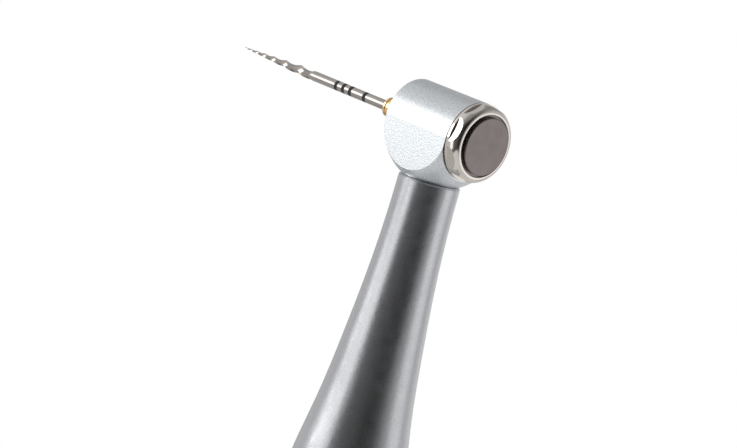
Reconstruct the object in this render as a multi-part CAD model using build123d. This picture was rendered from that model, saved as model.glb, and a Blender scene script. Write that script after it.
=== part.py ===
from build123d import *
import math
import os

os.makedirs("parts", exist_ok=True)

# Cordless endodontic handpiece: a satin metal contra-angle with a rotary file in its chuck,
# on a motor handle. Millimetres, +Z along the handle, origin at the centre of the tail face.
# The head has its own frame: X along the file towards the push button, Z up the neck axis.

# Clearances
fit = 0.02
running = 0.03
end_play = 0.10
button_gap = 0.12

# Contra-angle layout
knee_angle = 20.0
neck_length = 52.0
knee_bend_radius = 30.0
knee_height_above_joint = 26.0

# Head casting
head_barrel_radius = 4.6
head_ball_radius = 6.86
head_nose_plane = -6.1
head_cap_plane = 4.9
neck_joint_drop = 6.0
head_nose_wall = 0.8
head_nose_hole_radius = 1.85
head_spigot_radius = 3.2
head_spigot_length = 2.4
gear_pocket_radius = 2.9
gear_pocket_depth = 3.9
neck_shaft_hole_radius = 1.65
bush_shoulder = 1.0

# Head bearings, one each end of the chuck spindle
spindle_radius = 1.5875
head_bearing_radius = 3.175
head_bearing_width = 2.38
head_race_thickness = 0.45
head_ball_count = 8

# Back cap with eight wrench flats
cap_spigot_radius = 4.08
cap_spigot_length = 1.4
cap_seat_radius = 4.3
cap_seat_gap = 0.12
cap_flange_thickness = 0.46
cap_flat_count = 8
cap_flat_distance = 4.36
cap_flat_turn = 16.0
cap_shoulder_start = 0.14
cap_face_plane = 6.76
cap_rim_radius = 3.85
cap_hole_radius = 3.7
cap_lip_thickness = 0.26
cap_cavity_radius = 3.85
cap_ledge_radius = 2.75
cap_ledge_thickness = 0.22

# Push button and its spring
push_button_radius = 3.38
push_button_proud = 0.37
push_button_base_plane = 6.3
push_button_flange_thickness = 0.18
push_button_recess_radius = 1.5
push_button_recess_depth = 0.35
push_button_travel = 0.5
push_button_edge = 0.08
spring_wire_radius = 0.13
spring_coil_radius = 3.05

# Chuck
spindle_nose_plane = -6.0
spindle_shoulder_radius = 1.85
spindle_shoulder_thickness = 0.2
jaw_ring_radius = 2.3
jaw_ring_thickness = 0.45
jaw_slit_width = 0.35
jaw_slit_count = 3

# File: gold plated shank and nickel-titanium blade
shank_radius = 1.175
shank_front_plane = -9.5
shank_rear_plane = 5.9
shank_rim_width = 0.4
shank_edge = 0.15
shank_groove_width = 0.2
shank_groove_depth = 0.12
shank_flat_length = 5.0
shank_flat_depth = 0.45
latch_groove_width = 0.5
latch_groove_depth = 0.3
blade_radius = 0.6
blade_socket_depth = 5.0
flute_start_plane = -22.97
flute_length = 13.08
flute_tip_radius = 0.06
flute_taper = 0.052
flute_bulge = 0.62
flute_sections = 34
flute_pitch_growth = 0.293
flute_twist_rate = 536.0
flute_turn = 36.0

# Bevel gears: the head pair turns the drive through a right angle, the knee pair through the bend
tooth_share = 0.20
pressure_slope = 0.40
head_gear_teeth = 12
head_gear_radius = 2.5
head_gear_face = 0.85
head_gear_addendum = 0.25
head_gear_dedendum = 0.35
head_gear_back = 0.15
pinion_hub_length = 0.05
crown_gear_hub_length = 0.8
knee_gear_teeth = 16
knee_gear_radius = 3.75
knee_gear_face = 1.3
knee_gear_addendum = 0.26
knee_gear_dedendum = 0.38
knee_gear_back = 0.6
knee_gear_hub_radius = 2.3
knee_gear_hub_length = 0.8

# Neck shaft and its bushes
neck_shaft_radius = 1.0
neck_shaft_body_radius = 1.3
bush_radius = 2.5
bush_length = 2.5

# Neck sleeve: outer radius at distances down from the file axis
neck_top_radius = 3.64
neck_quarter_radius = 3.93
neck_half_radius = 4.78
neck_low_radius = 5.73
neck_quarter_drop = 16.0
neck_half_drop = 26.0
neck_low_drop = 34.0
knee_radius = 7.2
neck_bore_radius = 2.2
neck_edge = 0.2
knee_spigot_radius = 5.6
knee_spigot_length = 3.5

# Rear shaft bearings
rear_shaft_radius = 1.5
rear_bearing_radius = 4.0
rear_bearing_width = 3.0
rear_race_thickness = 0.62
rear_ball_count = 8
rear_bearing_spread = 3.6
sheath_lip_thickness = 0.4
sheath_lip_radius = 3.5

# Rear sheath and the coupling nose that it turns on
sheath_radius = 9.2
sheath_edge = 0.4
nose_radius = 6.2
nose_length = 12.8
nose_gap = 0.3
nose_bore_radius = 2.9
nose_flange_radius = 8.0
nose_ring_radius = 0.5
nose_ring_heights = (3.2, 10.2)
latch_ring_height = 6.7
latch_ring_width = 1.0
latch_ring_depth = 0.7
latch_ring_opening = 40.0

# Drive dog between motor shaft and rear shaft
dog_radius = 2.4
dog_height = 4.6
dog_lift = 1.5
tongue_width = 1.3
tongue_height = 2.8
dog_end_gap = 0.3
fork_height = 4.0

# Motor
motor_radius = 8.0
motor_length = 28.0
motor_wall = 0.8
motor_end_wall = 2.2
motor_bush_radius = 3.0
rotor_radius = 4.4
rotor_length = 20.0
stator_inner_radius = 4.8
stator_length = 22.0

# Handle casing
tail_cap_length = 8.0
collar_length = 10.0
collar_thread_length = 4.0
tail_radius = 11.6
belly_radius = 13.4
belly_height = 42.0
shoulder_radius = 12.3
shoulder_drop = 4.0
front_radius = 9.9
casing_wall = 1.8
collar_neck_radius = 8.9
panel_plane = 12.0
motor_rib_thickness = 2.0
stop_rib_thickness = 2.0
stop_rib_radius = 8.6
screw_bay_length = 7.0
tail_edge = 1.2
tail_spigot_length = 3.0
tail_ring_radius = 0.6
collar_edge = 0.4

# Chassis, battery and circuit board
chassis_radius = 9.96
chassis_end_wall = 2.5
chassis_deck = 7.0
battery_radius = 7.0
battery_length = 50.0
battery_offset = -1.8
battery_contact_radius = 6.0
battery_contact_thickness = 0.6
battery_contact_height = 3.5
board_thickness = 1.0
board_width = 12.0
board_slot_gap = 0.2
board_start = 2.5
board_end_gap = 1.5
contact_radius = 1.6
contact_spacing = 10.0
contact_recess = 0.2

# Display
display_gap = 7.0
display_top_gap = 9.5
display_width = 8.0
display_frame = 0.7
display_corner = 1.2
window_thickness = 1.0
display_module_height = 2.6

# Buttons on the panel: their places, radius, and how they stand
power_button_start = 6.0
button_spacing = 7.0
start_button_drop = 6.5
small_button_radius = 2.2
start_button_radius = 3.6
button_proud = 0.6
button_flange = 0.9
button_flange_thickness = 0.6
button_seat_plane = 10.2
button_travel = 0.35
button_edge = 0.4
switch_radius = 1.8
switch_gap = 0.1

# Screws
shell_screw_drop = 3.0
shell_screw_spacing = 15.0
tail_screw_spacing = 15.6
tail_screw_offset = 1.2
screw_radius = 0.95
screw_head_radius = 1.7
screw_head_height = 1.2
shell_screw_sink = 7.4
shell_screw_length = 10.0
tail_screw_length = 12.0
boss_wall = 0.9

# Heights up the handle, worked out from the sizes above
spigot_high = tail_cap_length + tail_spigot_length
chassis_length = battery_contact_height + battery_length + chassis_end_wall
chassis_high = spigot_high + chassis_length
motor_low = chassis_high + stop_rib_thickness + screw_bay_length
motor_top = motor_low + motor_length
joint_height = motor_top + collar_length - collar_thread_length
collar_low = joint_height - collar_length
nose_top = joint_height + nose_length
shoulder_height = motor_low - shoulder_drop
shell_screw_height = motor_low - shell_screw_drop
tail_screw_seat = screw_head_height + contact_recess
lower_bearing_low = nose_top + nose_gap + sheath_lip_thickness
upper_bearing_low = lower_bearing_low + rear_bearing_width + rear_bearing_spread
board_low = spigot_high + board_start
board_length = motor_low - board_end_gap - board_low
board_top = chassis_deck + board_thickness
power_button_height = spigot_high + power_button_start
minus_button_height = power_button_height + button_spacing
plus_button_height = minus_button_height + button_spacing
start_button_height = motor_low - start_button_drop
display_low = plus_button_height + display_gap
display_length = start_button_height - display_top_gap - display_low
display_middle = display_low + display_length / 2

# The bend at the knee and the place of the head
knee_height = joint_height + knee_height_above_joint
knee_tangent = knee_bend_radius * math.tan(math.radians(knee_angle / 2))
bend_height = knee_height - knee_tangent
head_x = neck_length * math.sin(math.radians(knee_angle))
head_z = knee_height + neck_length * math.cos(math.radians(knee_angle))
head_place = Location((head_x, 0, head_z), (0, knee_angle, 0))
knee_place = Location((0, 0, knee_height), (0, 0, 0))
tilted_knee_place = Location((0, 0, knee_height), (0, knee_angle, 0))
along_file = Rot(0, 90, 0)


def ring(outer, inner, low, high):
    """Tube or disc about Z between two heights."""
    body = Pos(0, 0, low) * Cylinder(outer, high - low, align=(Align.CENTER, Align.CENTER, Align.MIN))
    if inner > 0:
        body -= Pos(0, 0, low) * Cylinder(inner, high - low, align=(Align.CENTER, Align.CENTER, Align.MIN))
    return body


def turned(points):
    """Solid of revolution about Z from (radius, height) corners."""
    outline = Polyline(*[(r, 0, h) for r, h in points], close=True)
    return revolve(make_face(outline), Axis.Z)


def around(count, shape, start=0.0):
    """Copies of a shape spread evenly about Z."""
    return [Rot(0, 0, start + 360.0 * i / count) * shape for i in range(count)]


def in_head(shape):
    return head_place * shape


def on_file_axis(shape):
    """From a shape along Z to one along the file axis."""
    return head_place * along_file * shape


def save(name, shape):
    shapes = list(shape) if isinstance(shape, (list, tuple)) else [shape]
    solids = [solid for item in shapes for solid in item.solids()]
    body = solids[0] if len(solids) == 1 else Compound(children=solids)
    body.label = name
    export_step(body, f"parts/{name}.step")


def ball_bearing(bore, outer, width, race, count, low):
    """Inner race, outer race and balls of a bearing whose lower face is at a height."""
    pitch = (bore + outer) / 2
    middle = low + width / 2
    ball_radius = (outer - bore) / 2 - race + min(race * 0.35, width * 0.1)
    groove = Pos(0, 0, middle) * Torus(pitch, ball_radius + running)
    inner_race = ring(bore + race, bore + fit, low, low + width) - groove
    outer_race = ring(outer, outer - race, low, low + width) - groove
    ball = Pos(pitch, 0, middle) * Sphere(ball_radius)
    return inner_race, outer_race, around(count, ball)


def bevel_gear(teeth, radius, face, cone_angle, addendum, dedendum, bore, back, hub_radius, hub_length):
    """Straight bevel gear about Z with the tip of its pitch cone at the origin."""
    along = (math.sin(math.radians(cone_angle)), math.cos(math.radians(cone_angle)))
    across = (along[1], -along[0])
    cone_length = radius / along[0]
    shrink = (cone_length - face) / cone_length
    root_r = radius - dedendum * across[0]
    root_h = cone_length * along[1] - dedendum * across[1]
    back_h = root_h + back
    blank = turned([
        (bore, shrink * root_h),
        (shrink * root_r, shrink * root_h),
        (root_r, root_h),
        (root_r, back_h),
        (hub_radius, back_h),
        (hub_radius, back_h + hub_length),
        (bore, back_h + hub_length),
    ])
    half = tooth_share * 2 * math.pi * radius / teeth
    sunk = dedendum * 1.2
    profile = [
        (-half - sunk * pressure_slope, -sunk),
        (half + sunk * pressure_slope, -sunk),
        (half - addendum * pressure_slope, addendum),
        (-half + addendum * pressure_slope, addendum),
    ]
    sections = []
    for scale in (1.0, shrink):
        centre = (scale * radius, 0, scale * cone_length * along[1])
        plane = Plane(origin=centre, x_dir=(0, -1, 0), z_dir=(along[0], 0, along[1]))
        corners = [(scale * t, scale * n) for t, n in profile]
        sections.append(plane * make_face(Polyline(*corners, close=True)))
    tooth = loft(sections, ruled=True)
    return blank + around(teeth, tooth), back_h + hub_length


def button_profile(radius, top, seat, edge):
    """Round button about Z with a flange that stops it under the panel."""
    body = ring(radius, 0, seat - button_flange_thickness, top)
    body = chamfer(body.edges().group_by(Axis.Z)[-1], edge)
    return body + ring(radius + button_flange, 0, seat - button_flange_thickness, seat - fit)


# Head casting: a ball cut to a barrel with flat sides that run down to the neck
def head_housing():
    length = head_cap_plane - head_nose_plane
    barrel = along_file * ring(head_barrel_radius, 0, head_nose_plane, head_cap_plane)
    skirt = Pos((head_cap_plane + head_nose_plane) / 2, 0, -neck_joint_drop / 2) * Box(
        length, 2 * head_barrel_radius, neck_joint_drop)
    body = (barrel + skirt) & Sphere(head_ball_radius)
    spigot_end = neck_joint_drop + head_spigot_length
    body += ring(head_spigot_radius, 0, -spigot_end, -neck_joint_drop + fit)
    nose_inside = head_nose_plane + head_nose_wall
    body -= along_file * ring(head_bearing_radius + fit, 0, nose_inside, head_cap_plane)
    body -= along_file * ring(cap_spigot_radius + fit, 0, head_cap_plane - cap_spigot_length, head_cap_plane)
    body -= along_file * ring(head_nose_hole_radius, 0, head_nose_plane - 1, nose_inside + 1)
    body -= ring(gear_pocket_radius, 0, -gear_pocket_depth, 0)
    body -= ring(neck_shaft_hole_radius, 0, -spigot_end, 0)
    body -= ring(bush_radius + fit, 0, -spigot_end, -gear_pocket_depth - bush_shoulder)
    return body


# Back cap: spigot, full round flange over a fine gap, and eight flats under a domed shoulder
def back_cap():
    spigot_low = head_cap_plane - cap_spigot_length
    gap_top = head_cap_plane + cap_seat_gap
    flats_plane = head_cap_plane + cap_flange_thickness
    shoulder_plane = flats_plane + cap_shoulder_start
    shoulder = Plane.XZ * EllipticalCenterArc(
        (cap_rim_radius, shoulder_plane), head_barrel_radius - cap_rim_radius,
        cap_face_plane - shoulder_plane, start_angle=0, arc_size=90)
    outline = shoulder + Polyline(
        (cap_rim_radius, 0, cap_face_plane), (0, 0, cap_face_plane), (0, 0, spigot_low),
        (cap_spigot_radius, 0, spigot_low), (cap_spigot_radius, 0, head_cap_plane),
        (cap_seat_radius, 0, head_cap_plane), (cap_seat_radius, 0, gap_top),
        (head_barrel_radius, 0, gap_top), (head_barrel_radius, 0, shoulder_plane))
    profile = revolve(make_face(outline), Axis.Z)
    octagon = extrude(RegularPolygon(cap_flat_distance, cap_flat_count, major_radius=False), cap_face_plane)
    turn = 180.0 / cap_flat_count - cap_flat_turn
    upper = ring(head_barrel_radius + 1, 0, flats_plane, cap_face_plane + 1)
    body = profile - (upper - Rot(0, 0, turn) * octagon)
    lip_plane = cap_face_plane - cap_lip_thickness
    ledge_top = ledge_plane + cap_ledge_thickness
    body -= ring(cap_hole_radius, 0, ledge_top, cap_face_plane)
    body -= ring(cap_cavity_radius, 0, ledge_top, lip_plane)
    body -= ring(cap_ledge_radius, 0, spigot_low, ledge_top)
    body -= ring(head_bearing_radius + fit, 0, spigot_low, ledge_plane)
    return body


def push_button():
    top = cap_face_plane + push_button_proud
    body = ring(push_button_radius, 0, push_button_base_plane, top)
    body = chamfer(body.edges().group_by(Axis.Z)[-1], push_button_edge)
    body += ring(cap_cavity_radius - running, 0, push_button_base_plane,
                 push_button_base_plane + push_button_flange_thickness)
    body -= ring(push_button_recess_radius, 0, push_button_base_plane,
                 push_button_base_plane + push_button_recess_depth)
    return body


def button_spring():
    low = ledge_plane + cap_ledge_thickness + spring_wire_radius
    high = push_button_base_plane - spring_wire_radius
    path = Pos(0, 0, low) * Helix(high - low, high - low, spring_coil_radius)
    section = Plane(origin=path @ 0, z_dir=path % 0) * Circle(spring_wire_radius)
    return sweep(section, path=path, is_frenet=True)


# Chuck spindle, its jaw ring and the shank bore
def chuck_spindle():
    jaw_plane = rear_bearing_start + head_bearing_width
    body = ring(spindle_radius, 0, spindle_nose_plane, jaw_plane)
    shoulder = head_nose_plane + head_nose_wall + head_bearing_width
    body += ring(spindle_shoulder_radius, 0, shoulder, shoulder + spindle_shoulder_thickness)
    return body - ring(shank_radius + running, 0, spindle_nose_plane, jaw_plane)


def chuck_jaws():
    low = rear_bearing_start + head_bearing_width
    body = ring(jaw_ring_radius, shank_radius + running, low, low + jaw_ring_thickness)
    slit = Pos(shank_radius + 0.3, 0, low + jaw_ring_thickness / 2) * Box(
        1.4, jaw_slit_width, jaw_ring_thickness)
    return body - around(jaw_slit_count, slit)


# File shank: rim, groove, then a plain shank with a drive flat and a latch groove
def file_shank():
    rim_end = shank_front_plane + shank_rim_width
    body = ring(shank_radius, 0, shank_front_plane, shank_rear_plane)
    body = chamfer(body.edges().group_by(Axis.Z)[0], shank_edge)
    body -= ring(shank_radius + 1, shank_radius - shank_groove_depth, rim_end, rim_end + shank_groove_width)
    flat_low = shank_rear_plane - shank_flat_length
    body -= Pos(shank_radius - shank_flat_depth + 1, 0, flat_low + shank_flat_length / 2) * Box(
        2, 2 * shank_radius, shank_flat_length)
    groove_high = shank_rear_plane - latch_groove_width
    body -= ring(shank_radius + 1, shank_radius - latch_groove_depth,
                 groove_high - latch_groove_width, groove_high)
    return body - ring(blade_radius + fit, 0, shank_front_plane, shank_front_plane + blade_socket_depth)


# Blade: round shaft, then three twisted cutting edges that taper to the tip
def flute_outline(radius):
    corners = [(radius * math.cos(math.radians(120 * i)), radius * math.sin(math.radians(120 * i)))
               for i in range(3)]
    middles = [(flute_bulge * radius * math.cos(math.radians(120 * i + 60)),
                flute_bulge * radius * math.sin(math.radians(120 * i + 60))) for i in range(3)]
    arcs = [ThreePointArc(corners[i], middles[i], corners[(i + 1) % 3]) for i in range(3)]
    return make_face(arcs)


def file_blade():
    sections = []
    for i in range(flute_sections + 1):
        from_tip = flute_length * (1 - i / flute_sections) ** 1.35
        radius = min(flute_tip_radius + flute_taper * from_tip, blade_radius)
        twist = -flute_twist_rate * math.log(1 + flute_pitch_growth * from_tip)
        place = Pos(0, 0, flute_length - from_tip) * Rot(0, 0, flute_turn + twist)
        sections.append(place * flute_outline(radius))
    shaft_length = shank_front_plane + blade_socket_depth - flute_start_plane
    shaft = ring(blade_radius, 0, -shaft_length, 0.15)
    blade = loft(sections) + shaft
    return Pos(flute_start_plane, 0, 0) * Rot(0, -90, 0) * blade


# Neck shaft with a gear at each end, running in two bushes
def neck_shaft():
    top = -(gear_pocket_depth - crown_gear_hub_length)
    bush_low = -(gear_pocket_depth + bush_shoulder + bush_length)
    knee_bush_high = -(neck_length - knee_gear_height - end_play - bush_length)
    low = -(neck_length - knee_gear_height + knee_gear_hub_length)
    body = ring(neck_shaft_radius, 0, low, top + crown_gear_hub_length)
    return body + ring(neck_shaft_body_radius, 0, knee_bush_high + end_play, bush_low - end_play)


def neck_bush(high):
    return ring(bush_radius, neck_shaft_radius + running, high - bush_length, high)


# Neck sleeve: slim tube that flares to the knee, a bend, and a spigot for the rear sheath
def neck_sleeve():
    straight_end = neck_length - knee_tangent
    flare = Spline(
        (neck_top_radius, 0, -neck_joint_drop), (neck_quarter_radius, 0, -neck_quarter_drop),
        (neck_half_radius, 0, -neck_half_drop), (neck_low_radius, 0, -neck_low_drop),
        (knee_radius, 0, -straight_end), tangents=[(0, 0, -1), (0, 0, -1)])
    outline = flare + Polyline(
        (knee_radius, 0, -straight_end), (0, 0, -straight_end), (0, 0, -neck_joint_drop),
        (neck_top_radius, 0, -neck_joint_drop))
    tube = revolve(make_face(outline), Axis.Z)
    tube = chamfer(tube.edges().group_by(Axis.Z)[-1], neck_edge)
    bend = revolve(Pos(0, 0, bend_height) * Circle(knee_radius),
                   Axis((knee_bend_radius, 0, bend_height), (0, 1, 0)), knee_angle)
    body = head_place * tube + bend
    body += ring(knee_spigot_radius, 0, bend_height - knee_spigot_length, bend_height + fit)
    spigot_hole = neck_joint_drop + head_spigot_length + end_play
    seat_high = -(neck_length - knee_gear_height - end_play - bush_length)
    body -= head_place * ring(head_spigot_radius + fit, 0, -spigot_hole, -neck_joint_drop)
    body -= head_place * ring(neck_bore_radius, 0, -neck_length, -neck_joint_drop)
    body -= head_place * ring(bush_radius + fit, 0, -neck_length, seat_high)
    chamber_high = -(neck_length - knee_gear_height - end_play)
    body -= head_place * ring(rear_bearing_radius + fit, 0, -neck_length, chamber_high)
    body -= ring(rear_bearing_radius + fit, 0, bend_height - knee_spigot_length, knee_height)
    return body - knee_place * Sphere(rear_bearing_radius + fit)


# Rear sheath: holds the lower bearing and turns on the coupling nose
def rear_sheath():
    low = joint_height + end_play
    flare = Spline((knee_radius, 0, bend_height), (sheath_radius, 0, low),
                   tangents=[(0, 0, -1), (0, 0, -1)])
    outline = flare + Polyline((sheath_radius, 0, low), (0, 0, low), (0, 0, bend_height),
                               (knee_radius, 0, bend_height))
    body = revolve(make_face(outline), Axis.Z)
    body = chamfer(body.edges().group_by(Axis.Z)[0], sheath_edge)
    body -= ring(nose_radius + running, 0, low, nose_top + nose_gap)
    body -= ring(sheath_lip_radius, 0, low, bend_height)
    body -= ring(rear_bearing_radius + fit, 0, lower_bearing_low, bend_height)
    return body - ring(knee_spigot_radius + fit, 0, bend_height - knee_spigot_length, bend_height)


def rear_shaft():
    fork_low = joint_height + dog_lift + dog_height + dog_end_gap
    top = knee_height - knee_gear_height + knee_gear_hub_length
    body = ring(rear_shaft_radius, 0, fork_low, top)
    body += ring(dog_radius, 0, fork_low, fork_low + fork_height)
    slot = Pos(0, 0, fork_low + tongue_height / 2) * Box(
        2 * dog_radius, tongue_width + 2 * fit, tongue_height)
    return body - slot


def drive_dog():
    low = joint_height + dog_lift
    body = ring(dog_radius, 0, low, low + dog_height)
    tongue = Pos(0, 0, low + dog_height + tongue_height / 2) * Box(
        2 * dog_radius, tongue_width, tongue_height)
    body += tongue & ring(dog_radius, 0, low, low + dog_height + tongue_height)
    return body - ring(rear_shaft_radius + fit, 0, low, low + dog_height)


# Coupling nose on the handle, with two sealing rings and a spring latch ring
def coupling_nose():
    body = ring(nose_flange_radius, 0, motor_top, joint_height)
    body += ring(nose_radius, 0, joint_height, nose_top)
    body -= ring(nose_bore_radius, 0, motor_top, nose_top)
    for height in nose_ring_heights:
        middle = joint_height + height
        body -= ring(nose_radius + 1, nose_radius - 2 * nose_ring_radius,
                     middle - nose_ring_radius - fit, middle + nose_ring_radius + fit)
    middle = joint_height + latch_ring_height
    return body - ring(nose_radius + 1, nose_radius - latch_ring_depth - fit,
                       middle - latch_ring_width / 2 - fit, middle + latch_ring_width / 2 + fit)


def nose_seals():
    seal = Torus(nose_radius - nose_ring_radius, nose_ring_radius)
    return [Pos(0, 0, joint_height + height) * seal for height in nose_ring_heights]


def latch_ring():
    middle = joint_height + latch_ring_height
    body = ring(nose_radius, nose_radius - latch_ring_depth,
                middle - latch_ring_width / 2, middle + latch_ring_width / 2)
    reach = 2 * nose_radius
    half = reach * math.tan(math.radians(latch_ring_opening / 2))
    wedge = extrude(make_face(Polyline((0, 0), (reach, -half), (reach, half), close=True)), latch_ring_width)
    return body - Pos(0, 0, middle - latch_ring_width / 2) * wedge


# Motor: can with two bushes, winding, magnet rotor and shaft
def motor_can():
    body = ring(motor_radius, 0, motor_low, motor_top)
    body -= ring(motor_radius - motor_wall, 0, motor_low + motor_end_wall, motor_top - motor_end_wall)
    return body - ring(motor_bush_radius + fit, 0, motor_low, motor_top)


def motor_bushes():
    bush = ring(motor_bush_radius, rear_shaft_radius + running, 0, motor_end_wall)
    return [Pos(0, 0, motor_low) * bush, Pos(0, 0, motor_top - motor_end_wall) * bush]


def motor_winding():
    middle = (motor_low + motor_top) / 2
    return ring(motor_radius - motor_wall - fit, stator_inner_radius,
                middle - stator_length / 2, middle + stator_length / 2)


def motor_rotor():
    middle = (motor_low + motor_top) / 2
    return ring(rotor_radius, rear_shaft_radius + fit, middle - rotor_length / 2, middle + rotor_length / 2)


def motor_shaft():
    return ring(rear_shaft_radius, 0, motor_low + fit, joint_height + dog_lift + dog_height - dog_end_gap)


# Handle casing: two half shells, closed by the collar in front and the cap at the tail
def casing_outline(inset):
    points = [(tail_radius - inset, 0, tail_cap_length), (belly_radius - inset, 0, belly_height),
              (shoulder_radius - inset, 0, shoulder_height), (front_radius - inset, 0, collar_low)]
    curve = Spline(*points)
    return curve + Polyline(points[-1], (0, 0, collar_low), (0, 0, tail_cap_length), points[0])


def casing():
    body = revolve(make_face(casing_outline(0)), Axis.Z)
    body -= Pos(panel_plane + belly_radius, 0, joint_height / 2) * Box(
        2 * belly_radius, 3 * belly_radius, joint_height)
    hollow = revolve(make_face(casing_outline(casing_wall)), Axis.Z)
    ribs = ring(belly_radius, 0, motor_low, motor_low + motor_rib_thickness)
    ribs += ring(belly_radius, 0, motor_top - collar_thread_length - stop_rib_thickness, motor_top)
    stop = ring(belly_radius, stop_rib_radius, chassis_high, chassis_high + stop_rib_thickness)
    body -= hollow - ribs - stop
    body += ring(collar_neck_radius, 0, collar_low - fit, motor_top)
    body -= ring(motor_radius + fit, 0, motor_low, motor_top)
    return body


def shell_screw_places():
    return [Pos(0, side * shell_screw_spacing / 2, shell_screw_height) for side in (-1, 1)]


def shell_bosses():
    boss = Rot(0, 90, 0) * Cylinder(screw_radius + boss_wall, 2 * belly_radius)
    return [place * boss for place in shell_screw_places()]


def shells():
    body = casing()
    inside = revolve(make_face(casing_outline(casing_wall / 2)), Axis.Z)
    inside -= Pos(panel_plane - casing_wall / 2 + belly_radius, 0, joint_height / 2) * Box(
        2 * belly_radius, 3 * belly_radius, joint_height)
    for boss in shell_bosses():
        body += boss & inside
    half = Box(2 * belly_radius, 3 * belly_radius, 2 * joint_height, align=(Align.MIN, Align.CENTER, Align.CENTER))
    upper = body & half
    lower = body & (Rot(0, 0, 180) * half)
    for place in shell_screw_places():
        drill = Rot(0, 90, 0) * Cylinder(screw_radius + fit, 2 * shell_screw_length)
        head_hole = Pos(-shell_screw_sink, 0, 0) * Rot(0, -90, 0) * Cylinder(
            screw_head_radius + fit, belly_radius, align=(Align.CENTER, Align.CENTER, Align.MIN))
        depth = shell_screw_length - shell_screw_sink
        lower -= place * (Pos(-shell_screw_sink, 0, 0) * drill)
        lower -= place * head_hole
        upper -= place * (Rot(0, 90, 0) * Cylinder(screw_radius + fit, 2 * (depth + end_play)))
    slot_depth = board_thickness + 2 * board_slot_gap
    upper -= Pos(chassis_deck + board_thickness / 2, 0, board_low + board_length / 2) * Box(
        slot_depth, board_width + 2 * board_slot_gap, board_length + 2 * board_slot_gap)
    for height, radius in panel_buttons():
        upper -= Pos(0, 0, height) * along_file * ring(radius + button_gap, 0, chassis_deck, belly_radius)
        upper -= Pos(0, 0, height) * along_file * ring(
            radius + button_flange + button_gap, 0, chassis_deck, button_seat_plane)
    window_plane = panel_plane - window_thickness
    recess_width = display_width + 2 * display_frame
    recess_length = display_length + 2 * display_frame
    upper -= Pos(window_plane, 0, display_middle) * along_file * rounded_plate(
        recess_length + 2 * fit, recess_width + 2 * fit, belly_radius, display_corner + fit)
    upper -= Pos(chassis_deck, 0, display_middle) * along_file * rounded_plate(
        display_length, display_width, belly_radius, display_corner / 2)
    return upper, lower


def rounded_plate(length, width, thickness, corner):
    """Plate from Z = 0 up, its length along X and rounded at the corners."""
    return extrude(RectangleRounded(length, width, corner), thickness)


def display_window():
    plate = rounded_plate(display_length + 2 * display_frame, display_width + 2 * display_frame,
                          window_thickness, display_corner)
    return Pos(panel_plane - window_thickness, 0, display_middle) * along_file * plate


def display_module():
    plate = rounded_plate(display_length - 2 * fit, display_width - 2 * fit, display_module_height,
                          display_corner / 2)
    return Pos(board_top, 0, display_middle) * along_file * plate


# Panel buttons and the switches under them
def panel_buttons():
    return [
        (power_button_height, small_button_radius),
        (minus_button_height, small_button_radius),
        (plus_button_height, small_button_radius),
        (start_button_height, start_button_radius),
    ]


def panel_button(height, radius):
    body = button_profile(radius, panel_plane + button_proud, button_seat_plane, button_edge)
    return Pos(0, 0, height) * along_file * body


def panel_switches():
    top = button_seat_plane - button_flange_thickness - button_travel - switch_gap
    return [Pos(0, 0, height) * along_file * ring(switch_radius, 0, board_top, top)
            for height, radius in panel_buttons()]


# Front collar: screws over the neck of the two shells
def front_collar():
    body = ring(front_radius, 0, collar_low, joint_height)
    body = chamfer(body.edges().group_by(Axis.Z)[-1], collar_edge)
    body -= ring(collar_neck_radius + fit, 0, collar_low, motor_top)
    return body - ring(nose_flange_radius + fit, 0, motor_top, joint_height)


def tail_screw_places():
    return [Pos(tail_screw_offset, side * tail_screw_spacing / 2, 0) for side in (-1, 1)]


# Tail cap: closes the casing, seals it with a ring and carries the charging contacts
def tail_cap():
    body = ring(tail_radius, 0, 0, tail_cap_length)
    body = fillet(body.edges().group_by(Axis.Z)[0], tail_edge)
    spigot = tail_radius - casing_wall - fit
    body += ring(spigot, 0, tail_cap_length, spigot_high)
    seal_height = (tail_cap_length + spigot_high) / 2
    body -= ring(spigot + 1, spigot - tail_ring_radius - fit,
                 seal_height - tail_ring_radius - fit, seal_height + tail_ring_radius + fit)
    for side in (-1, 1):
        body -= Pos(side * contact_spacing / 2, 0, 0) * ring(contact_radius + fit, 0, 0, spigot_high)
    for place in tail_screw_places():
        body -= place * ring(screw_radius + fit, 0, 0, spigot_high)
        body -= place * ring(screw_head_radius + fit, 0, 0, tail_screw_seat)
    return body


def tail_seal():
    spigot = tail_radius - casing_wall - fit
    return Pos(0, 0, (tail_cap_length + spigot_high) / 2) * (
        Torus(spigot - tail_ring_radius, tail_ring_radius)
        & ring(spigot + 1, spigot - tail_ring_radius, -1, 1))


def charge_contacts():
    return [Pos(side * contact_spacing / 2, 0, 0) * ring(contact_radius, 0, contact_recess, spigot_high)
            for side in (-1, 1)]


def screw(length):
    """Screw about Z, point up, with the seat of its head at the origin."""
    body = ring(screw_head_radius, 0, -screw_head_height, 0) + ring(screw_radius, 0, 0, length)
    slot = Pos(0, 0, -screw_head_height) * Box(2 * screw_head_radius, 0.5, 0.8)
    return body - slot


def shell_screws():
    return [place * Pos(-shell_screw_sink, 0, 0) * along_file * screw(shell_screw_length)
            for place in shell_screw_places()]


def tail_screws():
    return [place * Pos(0, 0, tail_screw_seat) * screw(tail_screw_length)
            for place in tail_screw_places()]


# Chassis: round cradle for the battery with a deck for the circuit board
def chassis():
    body = ring(chassis_radius, 0, spigot_high, chassis_high)
    body -= Pos(chassis_deck + chassis_radius, 0, (spigot_high + chassis_high) / 2) * Box(
        2 * chassis_radius, 2 * chassis_radius, chassis_length)
    body -= Pos(battery_offset, 0, 0) * ring(battery_radius + fit, 0, spigot_high,
                                             chassis_high - chassis_end_wall)
    for place in tail_screw_places():
        body -= place * ring(screw_radius + fit, 0, spigot_high,
                             tail_screw_seat + tail_screw_length + end_play)
    return body


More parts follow.
